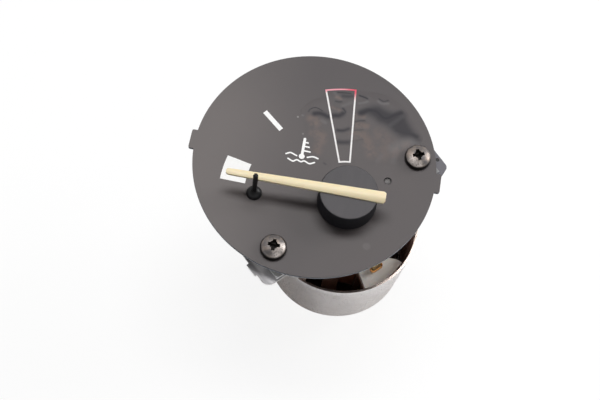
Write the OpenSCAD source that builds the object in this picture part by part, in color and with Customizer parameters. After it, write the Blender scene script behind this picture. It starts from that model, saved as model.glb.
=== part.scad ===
// Coolant temperature gauge with a quarter-circle sweep, out of an instrument cluster.
// Z runs along the pointer's axis. Z = 0 is the outer face of the three terminal nuts,
// where the wire terminals seat, and the dial faces +Z. X runs to the right on the dial.

/* [Dial] */
// Diameter of the round dial sheet
dial_d = 54; // [50:1:60]
// Thickness of the dial sheet
dial_t = 0.7; // [0.5:0.1:1]
// Height of the dial's face
dial_z = 35; // [34:0.5:38]
// Dial's centre from the pointer's axis, along X
dial_x = -8.5; // [-10:0.5:-7]
// Dial's centre from the pointer's axis, along Y
dial_y = 7.8; // [6.5:0.1:9]
// Width of the two locating tabs on the dial's edge
tab_w = 4.6; // [3:0.2:6]
// How far the tabs stand out of the edge
tab_out = 1.1; // [0.6:0.1:2]

/* [Dial screws] */
// Distance of the two dial screws from the pointer's axis
screw_at = 19.5; // [18.8:0.1:20.5]
// Direction of the first screw, with the second one opposite
screw_dir = 45.7; // [40:0.1:50]
// Diameter of the pan head
head_d = 5.8; // [5:0.1:6.5]
// Height of the pan head
head_h = 2.1; // [1.6:0.1:2.6]

/* [Pointer] */
// Length from the axis to the tip
tip_len = 26.9; // [22:0.1:29]
// Length from the axis to the blunt tail
tail_len = 8; // [7:0.1:10]
// Width at the tail
tail_w = 2.8; // [2:0.1:3.4]
// Width at the tip
tip_w = 1.4; // [1:0.1:2]
// Thickness on the crowned middle line
needle_t = 1; // [0.8:0.1:1.4]
// Direction in which the pointer lies against its stop
rest_dir = 181.8; // [178:0.1:182]
// Diameter of the hub cap at its foot
cap_d = 13.1; // [11:0.1:15]
// Height of the hub cap's top over the dial
cap_h = 5.56; // [4:0.1:7]
// Height of the stop peg over the dial
peg_h = 9.5; // [7.5:0.1:11]

/* [Shield can] */
// Outer diameter at the mouth
mouth_d = 34.4; // [33.6:0.1:36]
// Outer diameter at the closed end
floor_d = 31.4; // [30.8:0.1:33]
// Thickness of the drawn sheet
can_t = 0.5; // [0.4:0.1:0.7]
// Height of the mouth's edge
mouth_z = 24.5; // [22:0.5:26]
// Reach of the ears from the axis
ear_reach = 25.1; // [24:0.1:26.5]

/* [Movement] */
// Radius of the bobbin
bobbin_r = 11.4; // [11:0.1:12]
// Reach of the bobbin's corner pads from the axis
pad_r = 16; // [14.5:0.1:16.1]
// Radius of the pointer's spindle
spindle_r = 0.6; // [0.5:0.1:0.8]
// Radius of the rotor magnet
magnet_r = 5.2; // [4.6:0.1:5.4]
// Thickness of one coil's winding
coil_t = 2.6; // [2:0.1:2.6]
// Width of one half of a coil
coil_w = 3.4; // [2.6:0.1:3.5]

/* [Terminals] */
// Distance of the three studs from the axis
stud_at = 9.5; // [9.2:0.1:10]
// Radius of a stud's free end
stud_r = 2; // [1.8:0.1:2.2]
// Length of a stud's free end behind its nut
stud_free = 7; // [5:0.5:9]
// Direction of the first stud
stud_dir = -42.5; // [-60:0.5:-30]

/* [Hidden] */
$fn = 96;
eps = 0.01;
running_gap = 0.04;

// Heights of the stack, from the nuts up
nut_h = 3.2;
washer_h = 0.8;
flange_h = 1;
can_z = nut_h + washer_h + flange_h;
base_z = can_z + can_t;
bobbin_h = 11.5;
frame_z = dial_z - 3;
middle_z = frame_z - bobbin_h;
base_top = middle_z - bobbin_h;
frame_t = 0.8;
dial_back = dial_z - dial_t;

// Dial, screws and stop
tab_dirs = [179.7, 2.2];
tab_corner = 0.45;
screw_r = 1.5;
screw_len = 6;
post_at = 10.7;
post_r = 1.2;
post_dir = 41.4;
sight_r = 0.85;
sight_depth = 1.5;
peg_at = [-20.2, -2.12];
peg_r = 0.55;
peg_foot_r = 1.75;
peg_stem_r = 0.85;

// Pointer
cap_gap = 0.45;
cap_foot = dial_z + cap_gap;
cap_top = dial_z + cap_h;
cap_wall = 0.9;
cap_roof = 1.1;
groove = 0.2;
needle_z = cap_top - groove;
crown_r = 2;
spigot_r = 1;
spigot_len = 0.8;
bush_r = 1.5;
bush_foot = dial_z + 0.9;
bush_top = cap_top - cap_roof;

// Bobbin: the coils lie in open slots on both sides of a middle wall
wall_half = 1.7;
slot_edge = wall_half + coil_w + 0.3;
core_half = 7.4;
chamber_r = 6;
chamber_half = 2.9;
inner_h = chamber_half + 1.3;
outer_h = inner_h + coil_t + 0.2;
magnet_half = 1.6;
neck_r = 0.9;
bearing_r = 1.25;
bearing_len = 3.4;
pad_t = 1.5;
pad_turn = 4;
pad_half = 19.5;
stake_at = 8.6;
stake_r = 0.55;
bias_at = [-7, -7];
bias_r = 1.1;
bias_len = 5;

// Frame arms and the can's ears, drawn along +X and turned to the screws
arm_lift = 0.4;
arm_end = 22.4;
arm_low = -4.8;
arm_high = 5.6;
frame_r = 12.4;
boss_r = 3.4;
ear_low = -5.6;
ear_high = 5.8;
ear_low_r = 1.2;
ear_low_y = -3.75;
ear_high_r = 2;
ear_slant = 24;
ear_start = 13;
nib_out = 0.6;
nib_w = 3.1;
nib_low = -0.9;
ear_hole_in = 0.85;
ear_hole_y = -1.85;
ear_hole_r = 0.45;
bend_r = 1.1;
collar_r = 2;
collar_h = 1.6;

// Terminals: above Z = 0 a stud has the radius of its rolled thread's blank
shank_r = stud_r - 0.2;
stud_head_r = 3;
stud_head_h = 1.4;
tag_t = 0.4;
tag_w = 2.2;
tag_reach = 12.95;
tag_top = 24;
tag_z = base_top - stud_head_h - tag_t;
spigot_hole_r = 2.9;
flange_r = 4.2;
washer_r = 4;
nut_flats = 7;
wrap_w = 3.2;
wrap_t = 1.6;
wrap_z = 22.2;
wrap_h = 1.3;
base_r = 14;

screw_dirs = [screw_dir, screw_dir + 180];
stud_dirs = [for (i = [0:2]) stud_dir + 120 * i];
corner_dirs = [45, 135, 225, 315];

module at_polar(r, dir) {
    rotate([0, 0, dir]) translate([r, 0, 0]) children();
}

module rod(r, z0, z1) {
    translate([0, 0, z0]) cylinder(r = r, h = z1 - z0);
}

module tube(r_out, r_in, z0, z1) {
    difference() {
        rod(r_out, z0, z1);
        rod(r_in, z0 - 1, z1 + 1);
    }
}

module block(x0, x1, y0, y1, z0, z1) {
    translate([x0, y0, z0]) cube([x1 - x0, y1 - y0, z1 - z0]);
}

module plate(z0, z1) {
    translate([0, 0, z0]) linear_extrude(z1 - z0) children();
}

module rounded_rect(w, h, r) {
    square([w - 2 * r, h], center = true);
    square([w, h - 2 * r], center = true);
    for (x = [-1, 1], y = [-1, 1])
        translate([x * (w / 2 - r), y * (h / 2 - r)]) circle(r = r);
}

// One locating tab: a strip from inside the rim with rounded outer corners
module dial_tab() {
    reach = dial_d / 2 + tab_out;
    start = dial_d / 2 - 2;
    translate([start, -tab_w / 2]) square([reach - tab_corner - start, tab_w]);
    translate([start, -tab_w / 2 + tab_corner]) square([reach - start, tab_w - 2 * tab_corner]);
    for (side = [-1, 1])
        translate([reach - tab_corner, side * (tab_w / 2 - tab_corner)]) circle(r = tab_corner);
}

module dial_plate() {
    color([0.11, 0.11, 0.11])
    plate(dial_back, dial_z)
    difference() {
        translate([dial_x, dial_y]) {
            circle(d = dial_d, $fn = 180);
            for (dir = tab_dirs) rotate(dir) dial_tab();
        }
        circle(r = 2);
        for (dir = screw_dirs) rotate(dir) translate([screw_at, 0]) circle(r = screw_r + 0.15);
        rotate(post_dir) translate([post_at, 0]) circle(r = sight_r);
        translate(peg_at) circle(r = peg_stem_r);
    }
}

// Pan head: a short straight side, a rounded edge, and a crown that runs on from it
module pan_head() {
    edge = 1.1;
    crown = 5.5;
    edge_at = head_d / 2 - edge;
    side = head_h - crown + sqrt(pow(crown - edge, 2) - pow(edge_at, 2));
    meet = edge_at * crown / (crown - edge);
    rotate_extrude() {
        square([head_d / 2, side]);
        intersection() {
            translate([edge_at, side]) circle(r = edge);
            square([head_d / 2, head_h]);
        }
        intersection() {
            translate([0, head_h - crown]) circle(r = crown);
            square([meet, head_h + 1]);
        }
    }
}

// Cross recess: two slots with steep ends, and a tapered well in the middle
module cross_recess() {
    half = head_d * 0.24;
    foot = half - 0.4;
    deep = 1.2;
    well = 1.7;
    for (a = [0, 90]) rotate([90, 0, a]) linear_extrude(0.8, center = true)
        polygon([[-half, 1], [-half, 0], [-foot, -deep], [foot, -deep], [half, 0], [half, 1]]);
    translate([0, 0, -well]) cylinder(r1 = 0.45, r2 = 0.95, h = well);
}

module dial_screws() {
    turns = [66, 44];
    color([0.2, 0.19, 0.18])
    for (i = [0, 1]) at_polar(screw_at, screw_dirs[i]) translate([0, 0, dial_z]) {
        difference() {
            pan_head();
            translate([0, 0, head_h]) rotate([0, 0, turns[i]]) cross_recess();
        }
        rod(screw_r, -screw_len + 0.5, 0);
        translate([0, 0, -screw_len]) cylinder(r1 = screw_r - 0.5, r2 = screw_r, h = 0.5);
    }
}

// The peg clips through the sheet: a domed foot above it and a clip head below
module stop_peg() {
    dome = 1.5;
    color([0.06, 0.06, 0.06])
    translate([peg_at[0], peg_at[1], dial_z]) {
        intersection() {
            translate([0, 0, -0.2]) sphere(r = peg_foot_r);
            rod(peg_foot_r, 0, dome);
        }
        translate([0, 0, 1]) cylinder(r1 = peg_r - 0.1, r2 = peg_r, h = 5);
        rod(peg_r, 6, peg_h - peg_r);
        translate([0, 0, peg_h - peg_r]) sphere(r = peg_r);
        rod(peg_stem_r, -dial_t, 0);
        translate([0, 0, -dial_t - 0.8]) cylinder(r1 = 0.7, r2 = 1.3, h = 0.8);
    }
}

// Moulded bridge: a round plate with two raised arms, which carries the dial on bosses and posts
module frame_arm() {
    foot = frame_z + arm_lift;
    inner = frame_r - 1;
    rib = 0.8;
    block(inner, arm_end, arm_low, arm_high, foot, foot + frame_t);
    for (y = [arm_low + 1.8, arm_high - 1.8 - rib])
        block(inner, 20, y, y + rib, foot, foot + frame_t + 0.5);
    translate([screw_at, 0, 0]) rod(boss_r, frame_z, dial_back);
}

module movement_frame() {
    color([0.5, 0.5, 0.49])
    difference() {
        union() {
            rod(frame_r, frame_z, frame_z + frame_t);
            tube(frame_r, frame_r - 0.9, frame_z, frame_z + frame_t + 0.6);
            tube(4.6, 3.2, frame_z, dial_back);
            for (dir = screw_dirs) rotate([0, 0, dir]) frame_arm();
            // The first post stops short under the sight hole in the dial
            at_polar(post_at, post_dir) rod(post_r, frame_z, dial_z - sight_depth);
            for (i = [1:3]) at_polar(post_at, post_dir + 90 * i) rod(post_r, frame_z, dial_back);
        }
        rod(2.4, frame_z - 1, dial_z);
        for (dir = screw_dirs) at_polar(screw_at, dir) rod(screw_r + 0.1, frame_z - 1, dial_z + 1);
        for (dir = corner_dirs) at_polar(stake_at, dir) rod(stake_r, frame_z - 1, frame_z + 1);
    }
}

// What one pair of slots takes out of a bobbin half: all but the core inside the winding
module coil_slots(core_h) {
    difference() {
        for (side = [-1, 1])
            translate([0, side * (wall_half + slot_edge) / 2, 0])
            cube([40, slot_edge - wall_half, 40], center = true);
        rotate([90, 0, 0]) linear_extrude(40, center = true) rounded_rect(2 * core_half, 2 * core_h, 0.6);
    }
}

// Half of the four corner pads that steady the bobbin in the can, with slots for the tags
module corner_pads() {
    far = 20;
    difference() {
        intersection() {
            rod(pad_r, 0, pad_t);
            for (dir = corner_dirs) rotate([0, 0, dir + pad_turn])
                plate(0, pad_t) polygon([[0, 0], [far, -far * tan(pad_half)], [far, far * tan(pad_half)]]);
        }
        for (dir = stud_dirs) rotate([0, 0, dir])
            block(tag_reach - tag_t - 0.2, tag_reach + 0.2, -tag_w / 2 - 0.2, tag_w / 2 + 0.2, -1, pad_t + 1);
    }
}

// Upper half of the bobbin, with its parting face at Z = 0
module bobbin_half() {
    difference() {
        union() {
            rod(bobbin_r, 0, bobbin_h);
            corner_pads();
        }
        coil_slots(inner_h);
        rotate([0, 0, 90]) coil_slots(outer_h);
        rod(chamber_r, -1, chamber_half);
        rod(neck_r, 0, bobbin_h + 1);
        rod(bearing_r, bobbin_h - bearing_len, bobbin_h + 1);
    }
}

module upper_bobbin() {
    stake_top = frame_z + frame_t + 0.5;
    color([0.88, 0.86, 0.8]) {
        translate([0, 0, middle_z]) bobbin_half();
        for (dir = corner_dirs) at_polar(stake_at, dir) {
            rod(stake_r, frame_z - 0.5, stake_top);
            rod(0.9, frame_z + frame_t, stake_top);
        }
    }
}

module lower_bobbin() {
    color([0.88, 0.86, 0.8])
    difference() {
        translate([0, 0, middle_z]) mirror([0, 0, 1]) bobbin_half();
        translate([bias_at[0], bias_at[1], 0]) rod(bias_r, middle_z - bias_len, middle_z + 1);
    }
}

// Both halves of one coil, wound round the X-Z window with the spindle passing between them
module split_coil(core_h) {
    outside = 2 * coil_t;
    for (side = [-1, 1])
        translate([0, side * (wall_half + 0.15 + coil_w / 2), 0])
        rotate([90, 0, 0])
        linear_extrude(coil_w, center = true)
        difference() {
            rounded_rect(2 * core_half + outside, 2 * core_h + outside, 2.4);
            rounded_rect(2 * core_half, 2 * core_h, 0.6);
        }
}

module inner_coil() {
    color([0.72, 0.36, 0.12]) translate([0, 0, middle_z]) split_coil(inner_h);
}

module outer_coil() {
    color([0.66, 0.3, 0.1]) translate([0, 0, middle_z]) rotate([0, 0, 90]) split_coil(outer_h);
}

module upper_bush() {
    color([0.8, 0.66, 0.36])
    difference() {
        union() {
            rod(bearing_r, frame_z - bearing_len, frame_z + 0.9);
            rod(1.9, frame_z, frame_z + 0.5);
        }
        rod(spindle_r + running_gap, frame_z - bearing_len - 1, frame_z + 2);
    }
}

module thrust_bearing() {
    color([0.8, 0.66, 0.36])
    difference() {
        rod(bearing_r, base_top, base_top + bearing_len);
        rod(spindle_r + running_gap, base_top + 0.9, base_top + bearing_len + 1);
    }
}

module bias_magnet() {
    color([0.3, 0.3, 0.32])
    translate([bias_at[0], bias_at[1], 0]) rod(bias_r, middle_z - bias_len, middle_z);
}

// The drawn blank in section: floor, rounded edge, tapered wall, straight band and a flange all round
module can_profile() {
    edge = 0.6;
    band_z = mouth_z - 1.4;
    bend_z = frame_z - bend_r;
    bend_in = bend_r - can_t;
    r0 = floor_d / 2;
    r1 = mouth_d / 2;
    polygon([
        [0, can_z], [r0 - edge, can_z], [r0 - edge, can_z + edge], [r0, can_z + edge],
        [r1, band_z], [r1, bend_z], [r1 - can_t, bend_z], [r1 - can_t, band_z],
        [r0 - can_t, can_z + can_t], [0, can_z + can_t]
    ]);
    translate([r0 - edge, can_z + edge]) circle(r = edge, $fn = 48);
    translate([r1 + bend_in, frame_z - can_t]) square([ear_reach + nib_out - r1 - bend_in, can_t]);
    translate([r1 + bend_in, bend_z]) intersection() {
        difference() {
            circle(r = bend_r, $fn = 48);
            circle(r = bend_in, $fn = 48);
        }
        translate([-bend_r, 0]) square(bend_r);
    }
}

// The lug seen from above, drawn along +X: a straight outer edge between a small and a large round
// corner. Behind the small corner the side runs on at a slant
module ear_outline() {
    low_x = ear_reach - ear_low_r;
    meet = [low_x + ear_low_r * sin(ear_slant), ear_low_y - ear_low_r * cos(ear_slant)];
    slant_x = meet[0] - (meet[1] - ear_low) / tan(ear_slant);
    high_x = ear_reach - ear_high_r;
    high_y = ear_high - ear_high_r;
    polygon([
        [ear_start, ear_low], [slant_x, ear_low], meet, [low_x, ear_low_y], [ear_reach, ear_low_y],
        [ear_reach, high_y], [high_x, high_y], [high_x, ear_high], [ear_start, ear_high]
    ]);
    translate([low_x, ear_low_y]) circle(r = ear_low_r, $fn = 48);
    translate([high_x, high_y]) circle(r = ear_high_r, $fn = 48);
}

// What trimming leaves of the blank: the cup up to its mouth and, above it, the two ears.
// The second ear has a nib on its outer edge
module can_kept() {
    rod(mouth_d / 2 + 1, can_z - 1, mouth_z);
    for (i = [0, 1]) rotate([0, 0, screw_dirs[i]]) plate(mouth_z - 1, dial_z) {
        ear_outline();
        if (i == 1) translate([ear_reach - 1, nib_low]) square([nib_out + 1, nib_w]);
    }
}

module shield_can() {
    color([0.7, 0.7, 0.7])
    difference() {
        union() {
            intersection() {
                rotate_extrude($fn = 180) can_profile();
                can_kept();
            }
            for (dir = screw_dirs) at_polar(screw_at, dir)
                rod(collar_r, frame_z - can_t - collar_h, frame_z);
        }
        for (dir = screw_dirs) rotate([0, 0, dir]) {
            translate([screw_at, 0, 0]) rod(screw_r, frame_z - 4, frame_z + 1);
            translate([ear_reach - ear_hole_in, ear_hole_y, 0]) rod(ear_hole_r, frame_z - 1, frame_z + 1);
        }
        for (dir = stud_dirs) at_polar(stud_at, dir) rod(spigot_hole_r, can_z - 1, can_z + can_t + 1);
    }
}

module terminal_base() {
    color([0.12, 0.1, 0.09])
    difference() {
        rod(base_r, base_z, base_top);
        for (dir = stud_dirs) rotate([0, 0, dir]) {
            translate([stud_at, 0, 0]) {
                rod(shank_r, base_z - 1, base_top);
                rod(stud_head_r, tag_z, base_top + 1);
            }
            block(stud_at, tag_reach, -tag_w / 2, tag_w / 2, tag_z, base_top + 1);
        }
        for (dir = corner_dirs) at_polar(base_r, dir + 30) rod(1.5, base_z - 1, base_top + 1);
    }
}

module terminal_studs() {
    chamfer = 0.4;
    color([0.78, 0.7, 0.42])
    for (dir = stud_dirs) at_polar(stud_at, dir) {
        rod(stud_head_r, tag_z + tag_t, base_top);
        rod(shank_r, 0, base_top);
        rod(stud_r, -stud_free + chamfer, 0);
        translate([0, 0, -stud_free]) cylinder(r1 = stud_r - chamfer, r2 = stud_r, h = chamfer);
    }
}

// A ring under the stud's head, a strip outwards and a blade up beside the bobbin
module solder_tags() {
    color([0.8, 0.72, 0.45])
    for (dir = stud_dirs) rotate([0, 0, dir]) difference() {
        union() {
            translate([stud_at, 0, 0]) rod(stud_head_r, tag_z, tag_z + tag_t);
            block(stud_at, tag_reach, -tag_w / 2, tag_w / 2, tag_z, tag_z + tag_t);
            block(tag_reach - tag_t, tag_reach, -tag_w / 2, tag_w / 2, tag_z, tag_top);
        }
        translate([stud_at, 0, 0]) rod(shank_r, tag_z - 1, tag_z + 1);
    }
}

// The coil's bared end, wound round the flat blade and soldered
module wire_wraps() {
    middle = tag_reach - tag_t / 2;
    color([0.85, 0.5, 0.2])
    for (dir = stud_dirs) rotate([0, 0, dir]) difference() {
        plate(wrap_z, wrap_z + wrap_h)
            translate([middle, 0]) rounded_rect(wrap_t, wrap_w, wrap_t / 2 - 0.05);
        block(tag_reach - tag_t, tag_reach, -tag_w / 2, tag_w / 2, wrap_z - 1, wrap_z + wrap_h + 1);
    }
}

module insulating_bushes() {
    color([0.45, 0.27, 0.14])
    for (dir = stud_dirs) at_polar(stud_at, dir) difference() {
        union() {
            rod(flange_r, can_z - flange_h, can_z);
            rod(spigot_hole_r, can_z - eps, base_z);
        }
        rod(shank_r, can_z - 2, base_z + 1);
    }
}

module terminal_washers() {
    color([0.72, 0.72, 0.72])
    for (dir = stud_dirs) at_polar(stud_at, dir) tube(washer_r, stud_r + 0.15, nut_h, nut_h + washer_h);
}

// Hexagon with both faces' corners turned off at 30 degrees
module terminal_nuts() {
    corner_r = nut_flats / 2 / cos(30);
    flat_r = nut_flats / 2;
    bevel = (corner_r - flat_r) * tan(30);
    color([0.74, 0.68, 0.42])
    for (dir = stud_dirs) at_polar(stud_at, dir) difference() {
        intersection() {
            cylinder(r = corner_r, h = nut_h, $fn = 6);
            rotate_extrude() polygon([
                [0, 0], [flat_r, 0], [corner_r, bevel],
                [corner_r, nut_h - bevel], [flat_r, nut_h], [0, nut_h]
            ]);
        }
        rod(shank_r, -1, nut_h + 1);
    }
}

// The pointer in plan, along +X, drawn wider all round by grow
module needle_outline(grow = 0) {
    cut = 0.45;
    tip_r = tip_w / 2 + grow;
    tail = -tail_len - grow;
    half = tail_w / 2 + grow;
    end = tip_len - tip_w / 2;
    polygon([
        [end, -tip_r], [end, tip_r], [tail + cut, half],
        [tail, half - cut], [tail, cut - half], [tail + cut, -half]
    ]);
    translate([end, 0]) circle(r = tip_r, $fn = 48);
}

// The crown is a long cylinder that dips towards the tip
module pointer_needle() {
    dip = 0.5;
    color([0.93, 0.87, 0.7])
    rotate([0, 0, rest_dir]) {
        intersection() {
            plate(needle_z, needle_z + needle_t) needle_outline();
            translate([-tail_len - 2, 0, needle_z + needle_t - crown_r])
            rotate([0, 90 + dip, 0]) cylinder(r = crown_r, h = tip_len + tail_len + 4);
        }
        rod(spigot_r, needle_z - spigot_len, needle_z + 0.3);
    }
}

// Thin cap: drafted wall, rounded top edge, and a boss with four ribs inside
module hub_cap() {
    foot_r = cap_d / 2;
    top_r = foot_r - 0.14;
    edge = 0.3;
    inner_top = cap_top - cap_roof;
    rib_reach = foot_r - cap_wall + 0.3;
    color([0.07, 0.07, 0.07])
    difference() {
        union() {
            rotate_extrude() {
                polygon([
                    [foot_r - cap_wall, cap_foot], [foot_r, cap_foot], [top_r, cap_top - edge],
                    [top_r - edge, cap_top - edge], [top_r - edge, cap_top], [0, cap_top],
                    [0, inner_top], [top_r - cap_wall, inner_top]
                ]);
                translate([top_r - edge, cap_top - edge]) circle(r = edge, $fn = 32);
            }
            rod(2.6, cap_foot + 0.3, cap_top - 0.5);
            for (dir = [0, 90]) rotate([0, 0, rest_dir + 45 + dir])
                block(-rib_reach, rib_reach, -0.4, 0.4, cap_foot + 0.8, inner_top + 0.3);
        }
        rod(bush_r, cap_foot - 1, bush_top);
        rod(spigot_r, cap_foot, cap_top + 1);
        rotate([0, 0, rest_dir]) plate(needle_z, cap_top + 1) needle_outline(0.05);
    }
}

module pointer_bush() {
    color([0.8, 0.66, 0.36]) tube(bush_r, spindle_r, bush_foot, bush_top);
}

// Ground to a blunt cone at its foot, where it turns in the thrust bearing
module spindle() {
    foot = base_top + 0.95;
    color([0.78, 0.78, 0.8]) {
        translate([0, 0, foot]) cylinder(r1 = 0.15, r2 = spindle_r, h = 0.6);
        rod(spindle_r, foot + 0.6, bush_top - 0.1);
    }
}

module rotor_magnet() {
    color([0.22, 0.22, 0.24])
    tube(magnet_r, spindle_r, middle_z - magnet_half, middle_z + magnet_half);
}

dial_plate();
dial_screws();
stop_peg();
movement_frame();
upper_bobbin();
lower_bobbin();
inner_coil();
outer_coil();
upper_bush();
thrust_bearing();
bias_magnet();
shield_can();
terminal_base();
terminal_studs();
solder_tags();
wire_wraps();
insulating_bushes();
terminal_washers();
terminal_nuts();
pointer_needle();
hub_cap();
pointer_bush();
spindle();
rotor_magnet();
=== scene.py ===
import math
import random

import bmesh
import bpy
import numpy as np
from mathutils import Matrix, Vector


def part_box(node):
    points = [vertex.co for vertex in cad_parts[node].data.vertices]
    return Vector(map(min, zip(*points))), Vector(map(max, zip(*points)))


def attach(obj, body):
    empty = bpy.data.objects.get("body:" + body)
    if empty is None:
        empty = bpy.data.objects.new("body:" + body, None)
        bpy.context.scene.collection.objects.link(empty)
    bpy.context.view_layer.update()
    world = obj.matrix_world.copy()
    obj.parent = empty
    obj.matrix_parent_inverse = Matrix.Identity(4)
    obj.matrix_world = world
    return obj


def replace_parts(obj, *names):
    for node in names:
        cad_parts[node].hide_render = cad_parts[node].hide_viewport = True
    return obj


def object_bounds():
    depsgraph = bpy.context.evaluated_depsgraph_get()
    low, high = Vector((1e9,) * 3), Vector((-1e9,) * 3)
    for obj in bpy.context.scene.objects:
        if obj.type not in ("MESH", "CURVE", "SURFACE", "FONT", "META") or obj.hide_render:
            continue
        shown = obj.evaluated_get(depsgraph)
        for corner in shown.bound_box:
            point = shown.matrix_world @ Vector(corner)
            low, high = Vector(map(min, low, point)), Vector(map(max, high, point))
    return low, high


# Looks of a coolant temperature gauge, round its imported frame. Lengths are in millimetres, and MM
# turns them into metres. Directions are in degrees, anticlockwise from +X about the pointer's axis,
# and elevations are in degrees up.
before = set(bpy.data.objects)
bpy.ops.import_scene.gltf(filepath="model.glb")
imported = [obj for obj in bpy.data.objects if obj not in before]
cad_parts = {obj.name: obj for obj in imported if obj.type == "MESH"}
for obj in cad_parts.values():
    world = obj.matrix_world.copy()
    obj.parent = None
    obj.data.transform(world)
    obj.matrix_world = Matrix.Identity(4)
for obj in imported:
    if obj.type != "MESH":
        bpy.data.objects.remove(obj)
cad_low, cad_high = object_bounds()
MM = 0.001

# Sizes and places from the frame
POINTER_AXIS = (0.0, 0.0)
DIAL_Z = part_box("dial_plate")[1].z / MM
CAP_R = (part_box("hub_cap")[1].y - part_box("hub_cap")[0].y) / 2 / MM
EAR_TOP_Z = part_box("shield_can")[1].z / MM
COIL_MIDDLE_Z = (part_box("inner_coil")[0].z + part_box("inner_coil")[1].z) / 2 / MM
STUD_LOW_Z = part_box("terminal_studs")[0].z / MM
STUD_TOP_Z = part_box("terminal_studs")[1].z / MM
WRAP_LOW_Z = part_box("wire_wraps")[0].z / MM
WRAP_TOP_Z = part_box("wire_wraps")[1].z / MM
FLOOR_Z = cad_low.z / MM

# The photograph's view: a long lens looking down on the dial
CAMERA_TARGET = (-10.08, -1.6, 35.0)
CAMERA_DISTANCE = 341.9
CAMERA_DIRECTION = -87.89
CAMERA_ELEVATION = 65.68
CAMERA_ROLL = 9.35
CAMERA_LENS = 94.0
CAMERA_SENSOR_W = 36.0
CAMERA_CLIP_START = 10.0

# Edges sharper than this angle stay sharp on a smooth piece
SHARP_ANGLE = 40

# Print on the dial. Ink stands INK_T proud of the paint and reaches as far into it. A lift keeps it
# clear of other ink that it crosses, and of the film. The limit keeps a sharp corner from running
# out, and the points of a round end are turned this far from square across the line.
INK_T = 0.02
MITRE_LIMIT = 0.3
ROUND_END_TURNS = (80, 60, 40, 20)
BLOCK_R = (22.6, 28.2)
BLOCK_DIRECTIONS = (168.5, 180.6)
TICK_DIRECTION = 140.4
TICK_R = (22.5, 28.2)
TICK_W = 1.07
WEDGE_R = (9.85, 27.9)
WEDGE_DIRECTIONS = (95.7, 109.5)
WEDGE_LINE_W = 0.37
WEDGE_POINT_STEP = 0.3
WEDGE_LIFT = 0.01

# The wedge's ink turns red between two distances from the pointer's axis, further out on the left
# side. The left side's colour gives way to the right side's between the two values of X.
WEDGE_RED_R_LEFT = (27.0, 27.9)
WEDGE_RED_R_RIGHT = (24.6, 27.4)
WEDGE_SIDES_X = (-6.0, -3.2)

# The thermometer: its stem, its bulb and the marks beside it, and the waves that it stands in. The
# bulb is a very short line with round ends.
STEM = ((-11.74, 13.2), (-11.66, 8.9))
STEM_W = 0.62
STEM_LIFT = 0.004
BULB_AT = (-11.66, 8.87)
BULB_LENGTH = 0.01
BULB_D = 1.3
BULB_LIFT = 0.008
MARK_START_X = -11.5
MARK_ENDS = ((-9.2, 12.4), (-9.6, 11.4), (-10.05, 10.3))
MARK_W = 0.36
WAVES = (
    ((-15.2, 8.77), (-14.26, 9.25), (-13.4, 9.0), (-12.81, 8.8)),
    ((-10.4, 8.88), (-9.21, 9.29), (-8.02, 9.03)),
    (
        (-14.55, 7.73), (-13.37, 7.32), (-12.56, 7.8), (-11.61, 7.53),
        (-10.87, 7.87), (-9.69, 7.46), (-8.62, 7.99),
    ),
)
WAVE_W = 0.35
WAVE_LIFT = 0.002

# The dial's paint. A painted sheen makes it paler to the left between two values of X, and painted
# shade darkens it to the top between two of Y. It has pale spots, each with a size and a strength. On the
# sheet's edge it ends between two heights.
PAINT_GREY = (0.075, 0.064, 0.065)
PAINT_SHEEN_X = (-33.0, -9.0)
PAINT_SHADE_Y = (14.0, 32.0)
PAINT_EDGE_Z = (DIAL_Z - 0.4, DIAL_Z - 0.3)
DIAL_SPOTS = (((-14.3, 18.3), 0.3, 0.6), ((-12.4, 14.4), 0.3, 0.3), ((6.0, -9.3), 1.1, 0.1))

# The hub cap's top has painted shade along its rim, between two distances from its axis, and the
# movement's frame is painted paler to the left, where the dial shades it, between two values of X
CAP_RIM_R = (CAP_R - 0.36, CAP_R - 0.18)
FRAME_PAINTED_LIGHT_X = (-9.0, -5.0)

# The pip of the movement's frame that shows in the dial's sight hole, with a rounded edge
PIP_AT = (8.03, 7.08)
PIP_Z = (33.0, 34.76)
PIP_R = 0.79
PIP_SIDES = 36
PIP_EDGE_R = 0.2
PIP_EDGE_CUT = 0.06

# The dial screws: two pan heads with a cross recess, and the places of their painted highlights. A
# painted highlight is full up to the first distance from its place, and gone at the second.
SCREW_AT = (13.62, 13.96)
SCREW_HEAD_H = 2.1
SCREW_RECESS_R = 1.6
SCREW_RECESS_SINK = 0.3
SCREW_RECESS_Z = DIAL_Z + SCREW_HEAD_H - SCREW_RECESS_SINK
SCREW_PAINTED_HIGHLIGHT_R = (0.2, 1.5)
SCREW_PAINTED_HIGHLIGHTS = ((12.4, 12.1, 36.5), (13.9, 11.8, 36.5), (-11.8, -14.2, 36.5), (-12.7, -15.8, 36.4))

# The can: its mouth, and its ears with a small hole near the edge of each and a near-black plug in it,
# as painted shade in the hole. The hole's place is along the ear and across it. The rim's look, a painted
# warm reflection, and the ears' begin on level faces, each between two heights. The ears' plating tone
# holds painted light. It gives way from the left ear's to the right ear's, painted much darker as painted
# shade, over EAR_SIDES_X. The left ear is painted palest where the dial shades it, and darkens between
# the other two values of X, and again with painted shade towards its lit edge between the two distances
# from the pointer's axis.
MOUTH_Z = 24.5
RIM_LOOK_Z = (MOUTH_Z - 0.5, MOUTH_Z - 0.2)
EAR_LOOK_Z = (EAR_TOP_Z - 0.6, EAR_TOP_Z - 0.3)
EAR_DIRECTIONS = (45.7, 225.7)
EAR_HOLE_AT = (24.25, -1.85)
EAR_SHADE_PLUG_R = 0.44
EAR_SHADE_PLUG_SIDES = 24
EAR_T = 0.5
EAR_SHADE_PLUG_SINK = 0.15
EAR_SIDES_X = (-1.0, 1.0)
EAR_PAINTED_LIGHT_X = (-15.6, -13.8)
EAR_PAINTED_SHADE_R = (24.0, 24.8)

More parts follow.
